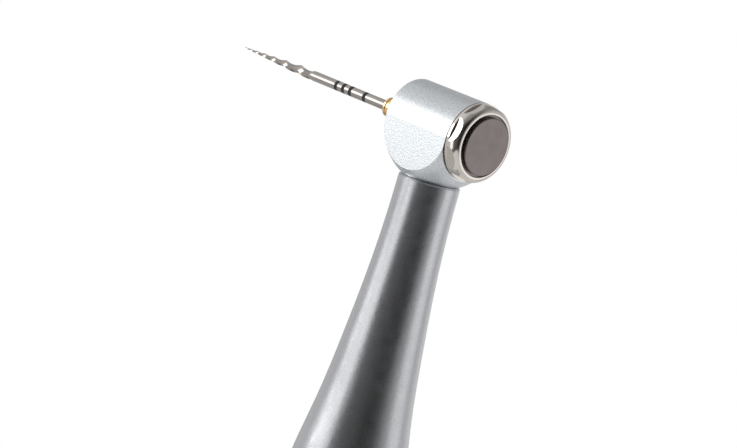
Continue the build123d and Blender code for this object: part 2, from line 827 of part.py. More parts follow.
def battery_cell():
    high = chassis_high - chassis_end_wall
    body = ring(battery_radius, 0, high - battery_length, high)
    return Pos(battery_offset, 0, 0) * fillet(body.edges(), 0.5)


def battery_contact():
    cell_low = chassis_high - chassis_end_wall - battery_length
    body = ring(battery_contact_radius, 0, spigot_high, spigot_high + battery_contact_thickness)
    return Pos(battery_offset, 0, 0) * (body + ring(contact_radius, 0, spigot_high, cell_low))


def circuit_board():
    plate = rounded_plate(board_length, board_width, board_thickness, 1.0)
    return Pos(chassis_deck, 0, board_low + board_length / 2) * along_file * plate


# Gears and bearings; the spindle's rear bearing stands against its pinion
spindle_pinion, rear_bearing_start = bevel_gear(
    head_gear_teeth, head_gear_radius, head_gear_face, 45.0, head_gear_addendum,
    head_gear_dedendum, spindle_radius + fit, head_gear_back, spindle_radius + head_race_thickness,
    pinion_hub_length)
ledge_plane = rear_bearing_start + head_bearing_width

knee_gear, knee_gear_height = bevel_gear(
    knee_gear_teeth, knee_gear_radius, knee_gear_face, 90.0 - knee_angle / 2, knee_gear_addendum,
    knee_gear_dedendum, neck_shaft_radius + fit, knee_gear_back, knee_gear_hub_radius,
    knee_gear_hub_length)
rear_knee_gear, rear_gear_height = bevel_gear(
    knee_gear_teeth, knee_gear_radius, knee_gear_face, 90.0 - knee_angle / 2, knee_gear_addendum,
    knee_gear_dedendum, rear_shaft_radius + fit, knee_gear_back, knee_gear_hub_radius,
    knee_gear_hub_length)
crown_gear, crown_gear_height = bevel_gear(
    head_gear_teeth, head_gear_radius, head_gear_face, 45.0, head_gear_addendum,
    head_gear_dedendum, neck_shaft_radius + fit, head_gear_back, neck_shaft_radius + 0.5,
    crown_gear_hub_length)

front_bearing_low = head_nose_plane + head_nose_wall
front_inner, front_outer, front_balls = ball_bearing(
    spindle_radius, head_bearing_radius, head_bearing_width, head_race_thickness, head_ball_count,
    front_bearing_low)
rear_inner, rear_outer, rear_balls = ball_bearing(
    spindle_radius, head_bearing_radius, head_bearing_width, head_race_thickness, head_ball_count,
    rear_bearing_start)
upper_inner, upper_outer, upper_balls = ball_bearing(
    rear_shaft_radius, rear_bearing_radius, rear_bearing_width, rear_race_thickness, rear_ball_count,
    upper_bearing_low)
lower_inner, lower_outer, lower_balls = ball_bearing(
    rear_shaft_radius, rear_bearing_radius, rear_bearing_width, rear_race_thickness, rear_ball_count,
    lower_bearing_low)
bearing_spacer = ring(rear_bearing_radius, rear_bearing_radius - rear_race_thickness,
                      lower_bearing_low + rear_bearing_width, upper_bearing_low)

half_head_tooth = Rot(0, 0, 180.0 / head_gear_teeth)
half_knee_tooth = Rot(0, 0, 180.0 / knee_gear_teeth)
upper_shell, lower_shell = shells()

# Contra-angle
save("head_housing", in_head(head_housing()))
save("back_cap", on_file_axis(back_cap()))
save("push_button", on_file_axis(push_button()))
save("button_spring", on_file_axis(button_spring()))
save("chuck_spindle", on_file_axis(chuck_spindle()))
save("chuck_jaws", on_file_axis(chuck_jaws()))
save("spindle_pinion", on_file_axis(spindle_pinion))
save("file_shank", on_file_axis(file_shank()))
save("file_blade", in_head(file_blade()))
save("head_bearing_inner_races", [on_file_axis(front_inner), on_file_axis(rear_inner)])
save("head_bearing_outer_races", [on_file_axis(front_outer), on_file_axis(rear_outer)])
save("head_bearing_balls", [on_file_axis(ball) for ball in front_balls + rear_balls])
save("neck_crown_gear", in_head(Rot(180, 0, 0) * half_head_tooth * crown_gear))
save("neck_shaft", in_head(neck_shaft()))
save("neck_bushes", [in_head(neck_bush(-(gear_pocket_depth + bush_shoulder))),
                     in_head(neck_bush(-(neck_length - knee_gear_height - end_play - bush_length)))])
save("neck_sleeve", neck_sleeve())
save("neck_knee_gear", tilted_knee_place * half_knee_tooth * knee_gear)
save("rear_knee_gear", knee_place * Rot(180, 0, 0) * rear_knee_gear)
save("rear_shaft", rear_shaft())
save("rear_bearing_inner_races", [upper_inner, lower_inner])
save("rear_bearing_outer_races", [upper_outer, lower_outer])
save("rear_bearing_balls", upper_balls + lower_balls)
save("bearing_spacer", bearing_spacer)
save("rear_sheath", rear_sheath())

# Coupling and motor
save("coupling_nose", coupling_nose())
save("nose_seals", nose_seals())
save("latch_ring", latch_ring())
save("drive_dog", drive_dog())
save("motor_can", motor_can())
save("motor_bushes", motor_bushes())
save("motor_winding", motor_winding())
save("motor_rotor", motor_rotor())
save("motor_shaft", motor_shaft())

# Handle
save("upper_shell", upper_shell)
save("lower_shell", lower_shell)
save("shell_screws", shell_screws())
save("front_collar", front_collar())
save("tail_cap", tail_cap())
save("tail_seal", tail_seal())
save("tail_screws", tail_screws())
save("charge_contacts", charge_contacts())
save("chassis", chassis())
save("battery_cell", battery_cell())
save("battery_contact", battery_contact())
save("circuit_board", circuit_board())
save("display_module", display_module())
save("display_window", display_window())
save("panel_switches", panel_switches())
save("power_button", panel_button(power_button_height, small_button_radius))
save("minus_button", panel_button(minus_button_height, small_button_radius))
save("plus_button", panel_button(plus_button_height, small_button_radius))
save("start_button", panel_button(start_button_height, start_button_radius))
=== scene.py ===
"""Looks of a cordless endodontic handpiece: finishes, file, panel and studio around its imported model."""

import math

import bmesh
import bpy
from mathutils import Matrix, Vector


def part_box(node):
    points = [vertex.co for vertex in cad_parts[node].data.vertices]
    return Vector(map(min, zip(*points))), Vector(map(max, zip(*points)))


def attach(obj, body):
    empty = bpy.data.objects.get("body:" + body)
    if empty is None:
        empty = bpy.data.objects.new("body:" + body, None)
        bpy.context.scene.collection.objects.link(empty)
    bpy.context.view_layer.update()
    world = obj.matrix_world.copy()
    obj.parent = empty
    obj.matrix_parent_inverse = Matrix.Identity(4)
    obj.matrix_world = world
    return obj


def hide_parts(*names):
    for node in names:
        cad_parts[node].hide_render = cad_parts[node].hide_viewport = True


bl_info = {
    "name": "Endodontic Handpiece",
    "version": (1, 0, 0),
    "blender": (4, 5, 0),
    "location": "3D View > Sidebar > Handpiece",
    "description": "Dresses the packed handpiece with its metals, plastics, file, panel and studio",
    "category": "Object",
}

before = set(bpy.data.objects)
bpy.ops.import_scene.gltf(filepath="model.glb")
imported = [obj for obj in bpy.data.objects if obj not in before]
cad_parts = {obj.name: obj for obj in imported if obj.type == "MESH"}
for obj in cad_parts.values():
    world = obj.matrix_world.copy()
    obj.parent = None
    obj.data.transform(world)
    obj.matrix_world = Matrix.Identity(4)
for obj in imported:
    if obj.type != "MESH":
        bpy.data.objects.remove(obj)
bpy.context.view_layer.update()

MM = 0.001
KNEE = Vector((0, 0, 136)) * MM
NECK_LENGTH = 52 * MM
NECK_TILT = math.radians(20)
# From the head's own axes, X along the file towards the button and Z up the neck, to the frame
HEAD = (Matrix.Translation(KNEE) @ Matrix.Rotation(NECK_TILT, 4, "Y")
        @ Matrix.Translation((0, 0, NECK_LENGTH)))
ALONG_FILE = Matrix.Rotation(math.pi / 2, 4, "Y")
# Centre and turn of a pattern on the head, and of one around the file's axis
HEAD_AXES = {"turn": HEAD.to_euler(), "centre": HEAD.translation}
FILE_AXES = {"turn": (HEAD @ ALONG_FILE).to_euler(), "centre": HEAD.translation}


# Sizes and colours that a user would change

def length_property(name, default, description):
    return bpy.props.FloatProperty(
        name=name, description=description, default=default * MM, min=0,
        unit="LENGTH", subtype="DISTANCE", precision=5)


def colour_property(name, default, description):
    return bpy.props.FloatVectorProperty(
        name=name, description=description, default=default, size=3, min=0, max=1, subtype="COLOR")


class HandpieceSizes(bpy.types.PropertyGroup):
    blast_grain: length_property("Blast grain", 0.17, "Width of one dimple in the bead-blasted metal")
    blast_depth: length_property("Blast depth", 0.016, "Depth of the bead-blasted dimples")
    metal_edge: length_property("Metal edge", 0.05, "Radius of the softened edges on metal")
    plastic_edge: length_property("Plastic edge", 0.15, "Radius of the softened edges on plastic")
    mark_width: length_property("Mark width", 0.55, "Width of a depth mark on the file")
    blade_radius: length_property("Blade radius", 0.6, "Radius of the file's plain shaft")
    tip_radius: length_property("Tip radius", 0.06, "Radius at the file's tip")
    blade_taper: bpy.props.FloatProperty(
        name="Blade taper", description="Radius gained on the way from the tip, as a share of the way",
        default=0.052, min=0)
    flute_length: length_property("Flute length", 13.08, "Length of the fluted part of the file")
    blade_tip: length_property("Blade tip", 36.05, "Distance of the file's tip from the neck axis")
    blade_root: length_property("Blade root", 4.5, "Distance of its hidden end from the neck axis")
    rib_pitch: length_property("Rib pitch", 3.2, "Distance between the grip ribs on the casing's back")
    rib_radius: length_property("Rib radius", 0.55, "Radius of a grip rib's section")
    symbol_stroke: length_property("Symbol stroke", 0.32, "Line width of the symbols on the keys")
    digit_height: length_property("Digit height", 3.3, "Height of the figures on the display")


class HandpieceColours(bpy.types.PropertyGroup):
    head_metal: colour_property("Head metal", (0.74, 0.77, 0.79), "Bead-blasted head casting and collar")
    neck_metal: colour_property("Neck metal", (0.56, 0.57, 0.59), "Darker satin neck and sheath")
    cap_steel: colour_property("Cap steel", (0.76, 0.71, 0.66), "Polished back cap")
    button_metal: colour_property("Button metal", (0.24, 0.21, 0.205), "Satin push button")
    gold: colour_property("Gold plate", (0.98, 0.70, 0.36), "Plated file shank")
    file_alloy: colour_property("File alloy", (0.47, 0.43, 0.40), "Nickel-titanium blade")
    mark_ink: colour_property("Depth marks", (0.012, 0.011, 0.011), "Bands that mark depth on the file")
    screws: colour_property("Screws", (0.55, 0.55, 0.56), "Screws in the shells and the tail")
    seals: colour_property("Seals", (0.028, 0.028, 0.03), "Rubber rings on the tail and the nose")
    casing: colour_property("Casing", (0.70, 0.715, 0.725), "Moulded shells of the handle")
    tail: colour_property("Tail cap", (0.16, 0.17, 0.18), "Grained end cap")
    keys: colour_property("Keys", (0.22, 0.24, 0.26), "Small keys")
    start_key: colour_property("Start key", (0.07, 0.25, 0.36), "Start key")
    symbols: colour_property("Symbols", (0.82, 0.84, 0.85), "Symbols on the keys")
    screen: colour_property("Display", (0.012, 0.013, 0.016), "Dark face of the display")
    screen_glow: colour_property("Display figures", (0.62, 0.86, 0.95), "Lit figures on the display")
    window: colour_property("Display window", (0.72, 0.76, 0.80), "Clear window over the display")
    switches: colour_property("Switches", (0.05, 0.05, 0.055), "Switches under the keys")
    chassis: colour_property("Chassis", (0.10, 0.10, 0.11), "Frame that holds the battery and the board")
    battery: colour_property("Battery wrap", (0.03, 0.13, 0.34), "Shrink wrap on the battery cell")


# Node trees

def add(tree, kind, inputs=None, **settings):
    node = tree.nodes.new(kind)
    for key, value in settings.items():
        setattr(node, key, value)
    for socket, value in (inputs or {}).items():
        if isinstance(value, bpy.types.NodeSocket):
            tree.links.new(value, node.inputs[socket])
        else:
            node.inputs[socket].default_value = value
    return node


def math_node(tree, operation, *values):
    return add(tree, "ShaderNodeMath", dict(enumerate(values)), operation=operation).outputs[0]


def dot(tree, vector, direction):
    node = add(tree, "ShaderNodeVectorMath", {0: vector, 1: direction}, operation="DOT_PRODUCT")
    return node.outputs["Value"]


def noise(tree, place, per_mm, detail, roughness=0.5):
    node = add(tree, "ShaderNodeTexNoise",
               {"Vector": place, "Scale": per_mm, "Detail": detail, "Roughness": roughness})
    return node.outputs["Fac"]


def mapped(tree, value, low, high, new_low, new_high, smooth=False):
    node = add(tree, "ShaderNodeMapRange",
               {"Value": value, "From Min": low, "From Max": high,
                "To Min": new_low, "To Max": new_high},
               interpolation_type="SMOOTHSTEP" if smooth else "LINEAR")
    return node.outputs["Result"]


def ramp(tree, value, stops):
    """Colour that runs through (place, colour) stops as the value goes from 0 to 1."""
    node = add(tree, "ShaderNodeValToRGB", {"Fac": value})
    elements = node.color_ramp.elements
    while len(elements) < len(stops):
        elements.new(1.0)
    for element, (place, colour) in zip(elements, stops):
        element.position = place
        element.color = (*colour, 1)
    return node.outputs["Color"]


def blend(tree, share, colour, other):
    """A colour that turns into another as the share goes from 0 to 1."""
    node = add(tree, "ShaderNodeMix", {0: share, 6: colour, 7: (*other, 1)}, data_type="RGBA")
    return node.outputs[2]


def shade(colour, factor):
    return tuple(min(1.0, channel * factor) for channel in colour)


def millimetres(tree, turn, centre):
    """Object coordinates in millimetres, turned and centred on a piece's own axes."""
    place = add(tree, "ShaderNodeTexCoord").outputs["Object"]
    moved = add(tree, "ShaderNodeMapping", {"Vector": place, "Location": centre}, vector_type="TEXTURE")
    turned = add(tree, "ShaderNodeMapping", {"Vector": moved.outputs[0], "Rotation": turn},
                 vector_type="TEXTURE")
    return add(tree, "ShaderNodeMapping", {"Vector": turned.outputs[0], "Scale": (1 / MM,) * 3},
               vector_type="POINT").outputs[0]


class Finish:
    """A material built up from a base colour: patches, roughness, grain and softened edges."""

    patch_detail = 3.0
    # Worn edges: cosines between the true and the softened normal where the wear starts and is full
    wear_start = 0.999
    wear_full = 0.95
    wear_per_mm = 1.1
    wear_detail = 4.0
    smear_detail = 4.0
    smear_roughness = 0.6
    bevel_samples = 4

    def __init__(self, name, edge, metallic=0.0, turn=(0, 0, 0), centre=(0, 0, 0)):
        self.material = bpy.data.materials.new(name)
        self.material.use_nodes = True
        self.tree = self.material.node_tree
        self.shader = self.tree.nodes["Principled BSDF"]
        self.shader.inputs["Metallic"].default_value = metallic
        self.place = millimetres(self.tree, turn, centre)
        self.heights = []
        bevel = add(self.tree, "ShaderNodeBevel", {"Radius": edge}, samples=self.bevel_samples)
        self.edge_normal = bevel.outputs["Normal"]

    def set(self, values):
        for socket, value in values.items():
            self.shader.inputs[socket].default_value = value
        return self

    def link(self, socket, value):
        self.tree.links.new(value, self.shader.inputs[socket])
        return self

    def patchy(self, base, variation, per_mm=0.35):
        """Slow patches of a slightly darker and a slightly lighter base colour."""
        patches = noise(self.tree, self.place, per_mm, self.patch_detail)
        stops = [(0.35, shade(base, 1 - variation)), (0.65, shade(base, 1 + variation))]
        return ramp(self.tree, patches, stops)

    def colour(self, base, variation, per_mm=0.35):
        return self.link("Base Color", self.patchy(base, variation, per_mm))

    def worn_colour(self, base, lighter, variation):
        """The base colour with patches, and a lighter line where handling has rubbed an edge."""
        body = self.patchy(base, variation)
        geometry = add(self.tree, "ShaderNodeNewGeometry")
        facing = dot(self.tree, geometry.outputs["Normal"], self.edge_normal)
        rubbed = mapped(self.tree, facing, self.wear_start, self.wear_full, 0.0, 1.0)
        breaks = noise(self.tree, self.place, self.wear_per_mm, self.wear_detail)
        broken = math_node(self.tree, "MULTIPLY", rubbed, breaks)
        return self.link("Base Color", blend(self.tree, broken, body, shade(base, lighter)))

    def roughness(self, middle, spread, per_mm=0.8):
        """Faint smears that make the surface a little duller and glossier."""
        smears = noise(self.tree, self.place, per_mm, self.smear_detail, self.smear_roughness)
        dullness = mapped(self.tree, smears, 0.3, 0.7, middle - spread, middle + spread)
        return self.link("Roughness", dullness)

    def speckle(self, base, size, contrast):
        """Fine frosted specks, some darker and some lighter than the base colour."""
        specks = noise(self.tree, self.place, MM / size, 1.0)
        stops = [(0.3, shade(base, 1 - contrast)), (0.7, shade(base, 1 + contrast))]
        return self.link("Base Color", ramp(self.tree, specks, stops))

    def grain(self, size, depth, detail=1.0, stretch=(1, 1, 1)):
        """Dimples of a size and depth, stretched where a tool has dragged them."""
        stretched = add(self.tree, "ShaderNodeMapping", {"Vector": self.place, "Scale": stretch})
        height = noise(self.tree, stretched.outputs[0], MM / size, detail)
        self.heights.append((height, depth))
        return self

    def rings(self, size, depth):
        """Fine turning marks around the piece's own Z axis."""
        axes = add(self.tree, "ShaderNodeSeparateXYZ", {0: self.place})
        squares = [math_node(self.tree, "MULTIPLY", axes.outputs[i], axes.outputs[i]) for i in (0, 1)]
        radius = math_node(self.tree, "SQRT", math_node(self.tree, "ADD", *squares))
        marks = add(self.tree, "ShaderNodeCombineXYZ", {0: radius, 1: axes.outputs[2]})
        self.heights.append((noise(self.tree, marks.outputs[0], MM / size, 1.0), depth))
        return self

    def done(self):
        normal = self.edge_normal
        for height, depth in self.heights:
            bump = add(self.tree, "ShaderNodeBump",
                       {"Height": height, "Distance": depth, "Strength": 1.0, "Normal": normal})
            normal = bump.outputs["Normal"]
        self.link("Normal", normal)
        return self.material


# Pieces

def verts_in(geometry):
    return [item for item in geometry if isinstance(item, bmesh.types.BMVert)]


def open_edges(bm):
    return [edge for edge in bm.edges if edge.is_boundary]


def close_ends(bm):
    """Fills the open ends and turns every face outwards."""
    bmesh.ops.holes_fill(bm, edges=open_edges(bm))
    bmesh.ops.recalc_face_normals(bm, faces=bm.faces)


def piece_from(bm, name, body, material):
    """Ends a bmesh as a named piece that rides on a body."""
    mesh = bpy.data.meshes.new(name)
    bm.to_mesh(mesh)
    bm.free()
    mesh.materials.append(material)
    piece = bpy.data.objects.new(name, mesh)
    bpy.context.scene.collection.objects.link(piece)
    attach(piece, body)
    return piece


def paint(material, *nodes):
    """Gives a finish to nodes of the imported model."""
    for name in nodes:
        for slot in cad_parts[name].material_slots:
            slot.material = material


def settings():
    scene = bpy.context.scene
    return scene.handpiece_sizes, scene.handpiece_colours


class HANDPIECE_OT_head(bpy.types.Operator):
    """Finishes the head casting, neck, back cap and push button"""

    bl_idname = "handpiece.head"
    bl_label = "Head and Neck"
    bl_options = {"REGISTER", "UNDO"}

    # The neck's blasting against the head's
    neck_grain_share = 0.9
    neck_depth_share = 0.4

    def execute(self, context):
        sizes, colours = settings()
        blasted = Finish("blasted_head", sizes.metal_edge, 1.0, **HEAD_AXES)
        blasted.speckle(colours.head_metal, sizes.blast_grain, 0.14).roughness(0.36, 0.03)
        blasted.grain(sizes.blast_grain, sizes.blast_depth)
        paint(blasted.done(), "head_housing", "front_collar")

        satin = Finish("satin_neck", sizes.metal_edge, 1.0, **HEAD_AXES)
        finer_grain = sizes.blast_grain * self.neck_grain_share
        satin.speckle(colours.neck_metal, finer_grain, 0.10).roughness(0.30, 0.03)
        satin.grain(finer_grain, sizes.blast_depth * self.neck_depth_share)
        paint(satin.done(), "neck_sleeve", "rear_sheath")

        polished = Finish("polished_cap", sizes.metal_edge, 1.0, **FILE_AXES)
        polished.colour(colours.cap_steel, 0.02).roughness(0.13, 0.02)
        polished.rings(0.12 * MM, 0.0002 * MM)
        paint(polished.done(), "back_cap")

        button = Finish("satin_button", sizes.metal_edge, 1.0, **FILE_AXES)
        button.colour(colours.button_metal, 0.04).roughness(0.34, 0.04)
        button.grain(0.08 * MM, 0.0012 * MM)
        paint(button.done(), "push_button")
        return {"FINISHED"}


class HANDPIECE_OT_file(bpy.types.Operator):
    """Twists the rotary file from a straight tube and gives it its alloy, depth marks and gold shank"""

    bl_idname = "handpiece.file"
    bl_label = "Rotary File"
    bl_options = {"REGISTER", "UNDO"}

    flute_steps = 150
    ring_points = 36
    run_out = 1.1 * MM
    twist_rate = math.radians(536)
    flute_turn = math.radians(36)
    pitch_growth = 0.293
    bulge = 0.62
    crease = math.radians(40)
    metal_roughness = 0.13
    ink_roughness = 0.6
    # Depth marks: millimetres from the neck axis
    marks = (13.38, 15.90, 17.15, 18.43)

    def lobe(self, angle):
        """Radius of the three-edged section at an angle from a cutting edge, for edges at radius 1."""
        corner = math.radians(60)
        from_middle = abs((angle % (2 * corner)) - corner)
        centre = (1 - self.bulge ** 2) / (1 - 2 * self.bulge)
        reach = self.bulge - centre
        along = centre * math.cos(from_middle)
        return along + math.sqrt(along ** 2 - centre ** 2 + reach ** 2)

    def blade(self, sizes):
        """A tube along Z from the tip, twisted and tapered point by point, then its plain shaft."""
        bm = bmesh.new()
        bmesh.ops.create_circle(bm, cap_ends=True, segments=self.ring_points, radius=1)
        step = sizes.flute_length / self.flute_steps
        bmesh.ops.spin(bm, geom=bm.edges[:], axis=(0, 0, 1), dvec=(0, 0, step), angle=0,
                       steps=self.flute_steps, use_duplicate=False)
        for vert in bm.verts:
            from_tip = vert.co.z
            into_run_out = (from_tip - sizes.flute_length + self.run_out) / self.run_out
            round_share = min(max(into_run_out, 0), 1) ** 2
            angle = math.atan2(vert.co.y, vert.co.x)
            lobe = self.lobe(angle) * (1 - round_share) + round_share
            radius = min(sizes.tip_radius + sizes.blade_taper * from_tip, sizes.blade_radius) * lobe
            twist = self.twist_rate * math.log(1 + self.pitch_growth * from_tip / MM)
            turned = angle + twist + math.pi - self.flute_turn
            vert.co = (radius * math.cos(turned), radius * math.sin(turned), from_tip)
        shaft = bmesh.ops.extrude_edge_only(bm, edges=open_edges(bm))["geom"]
        shaft_length = sizes.blade_tip - sizes.blade_root - sizes.flute_length
        bmesh.ops.translate(bm, verts=verts_in(shaft), vec=(0, 0, shaft_length))
        close_ends(bm)
        to_head = Matrix.Translation((-sizes.blade_tip, 0, 0)) @ ALONG_FILE
        bmesh.ops.transform(bm, matrix=HEAD @ to_head, verts=bm.verts)
        for face in bm.faces:
            face.smooth = True
        for edge in bm.edges:
            if len(edge.link_faces) == 2 and edge.calc_face_angle() > self.crease:
                edge.smooth = False
        return bm

    def alloy(self, sizes, colours):
        """Bare alloy with the depth marks as matt bands across it."""
        alloy = Finish("file_alloy", 0.01 * MM, 1.0, **HEAD_AXES)
        along = add(alloy.tree, "ShaderNodeSeparateXYZ", {0: alloy.place}).outputs[0]
        marked = 0.0
        for distance in self.marks:
            band = math_node(alloy.tree, "COMPARE", along, -distance, sizes.mark_width / MM / 2)
            marked = math_node(alloy.tree, "MAXIMUM", marked, band)
        body = alloy.patchy(colours.file_alloy, 0.05, 1.5)
        alloy.link("Base Color", blend(alloy.tree, marked, body, colours.mark_ink))
        alloy.link("Metallic", math_node(alloy.tree, "SUBTRACT", 1.0, marked))
        dullness = mapped(alloy.tree, marked, 0, 1, self.metal_roughness, self.ink_roughness)
        alloy.link("Roughness", dullness)
        alloy.grain(0.05 * MM, 0.0005 * MM, stretch=(0.15, 1, 1))
        return alloy.done()

    def execute(self, context):
        sizes, colours = settings()
        alloy = self.alloy(sizes, colours)
        blade = piece_from(self.blade(sizes), "twisted_blade", "file", alloy)
        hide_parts("file_blade")
        gold = Finish("gold_plate", 0.04 * MM, 1.0, **FILE_AXES)
        gold.colour(colours.gold, 0.05, 1.0).roughness(0.2, 0.04, 2.0).rings(0.06 * MM, 0.0003 * MM)
        paint(gold.done(), "file_shank")
        return {"FINISHED"}


class HANDPIECE_OT_casing(bpy.types.Operator):
    """Finishes the shells, tail and screws of the handle, and lays the grip ribs on its back"""

    bl_idname = "handpiece.casing"
    bl_label = "Casing and Grip"
    bl_options = {"REGISTER", "UNDO"}

    rib_low = 58 * MM
    rib_high = 96 * MM
    rib_spread = math.radians(104)
    rib_steps = 40
    rib_points = 12
    rib_proud = 0.28 * MM
    # Each end of a rib sinks below the casing over this last share of its reach
    rib_fade = 0.3
    rib_sunk = 0.25 * MM
    probe_start = -30 * MM

    def casing_radius(self, height):
        """Distance of the casing's back from the handle's axis at a height."""
        start = Vector((self.probe_start, 0, height))
        hit, place, _normal, _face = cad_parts["lower_shell"].ray_cast(start, Vector((1, 0, 0)))
        if not hit:
            raise RuntimeError(f"no casing at height {height}")
        return -place.x

    def rib(self, sizes, height):
        """A rib that rises out of the casing and sinks back into it at both ends."""
        bm = bmesh.new()
        radius = self.casing_radius(height) + self.rib_proud - sizes.rib_radius
        bmesh.ops.create_circle(bm, cap_ends=True, segments=self.rib_points, radius=sizes.rib_radius)
        bmesh.ops.rotate(bm, verts=bm.verts, matrix=Matrix.Rotation(math.pi / 2, 3, "X"))
        bmesh.ops.translate(bm, verts=bm.verts, vec=(-radius, 0, height))
        bmesh.ops.rotate(bm, verts=bm.verts, matrix=Matrix.Rotation(-self.rib_spread / 2, 3, "Z"))
        bmesh.ops.spin(bm, geom=bm.edges[:], axis=(0, 0, 1), angle=self.rib_spread, steps=self.rib_steps,
                       use_duplicate=False)
        for vert in bm.verts:
            off = abs(math.atan2(vert.co.y, -vert.co.x)) / (self.rib_spread / 2)
            faded = max(off - (1 - self.rib_fade), 0) / self.rib_fade
            sink = faded ** 2 * (self.rib_proud + self.rib_sunk)
            flat = Vector((vert.co.x, vert.co.y, 0))
            vert.co -= flat.normalized() * sink
        close_ends(bm)
        for face in bm.faces:
            face.smooth = len(face.verts) == 4
        return bm

    def grip(self, sizes, material):
        """All the ribs as one piece."""
        together = bmesh.new()
        count = round((self.rib_high - self.rib_low) / sizes.rib_pitch)
        for i in range(count + 1):
            rib = self.rib(sizes, self.rib_low + i * sizes.rib_pitch)
            mesh = bpy.data.meshes.new("rib")
            rib.to_mesh(mesh)
            rib.free()
            together.from_mesh(mesh)
            bpy.data.meshes.remove(mesh)
        return piece_from(together, "grip_ribs", "handle", material)

    def execute(self, context):
        sizes, colours = settings()
        shells = Finish("moulded_casing", sizes.plastic_edge)
        shells.colour(colours.casing, 0.015, 0.05).roughness(0.34, 0.04, 0.3)
        shells.grain(0.25 * MM, 0.0018 * MM)
        shells.set({"Coat Weight": 0.15, "Coat Roughness": 0.2})
        casing = shells.done()
        paint(casing, "upper_shell", "lower_shell")
        self.grip(sizes, casing)

        tail = Finish("grained_tail", sizes.plastic_edge)
        tail.worn_colour(colours.tail, 2.2, 0.06).roughness(0.5, 0.05)
        tail.grain(0.3 * MM, 0.012 * MM, 2.0)
        paint(tail.done(), "tail_cap")

        screws = Finish("screw_steel", 0.04 * MM, 1.0)
        screws.colour(colours.screws, 0.05, 1.0).roughness(0.3, 0.05, 2.0).grain(0.1 * MM, 0.002 * MM)
        paint(screws.done(), "shell_screws", "tail_screws")

        rubber = Finish("seal_rubber", 0.05 * MM)
        rubber.colour(colours.seals, 0.15, 0.6).roughness(0.62, 0.06).grain(0.12 * MM, 0.004 * MM)
        paint(rubber.done(), "tail_seal", "nose_seals")
        return {"FINISHED"}


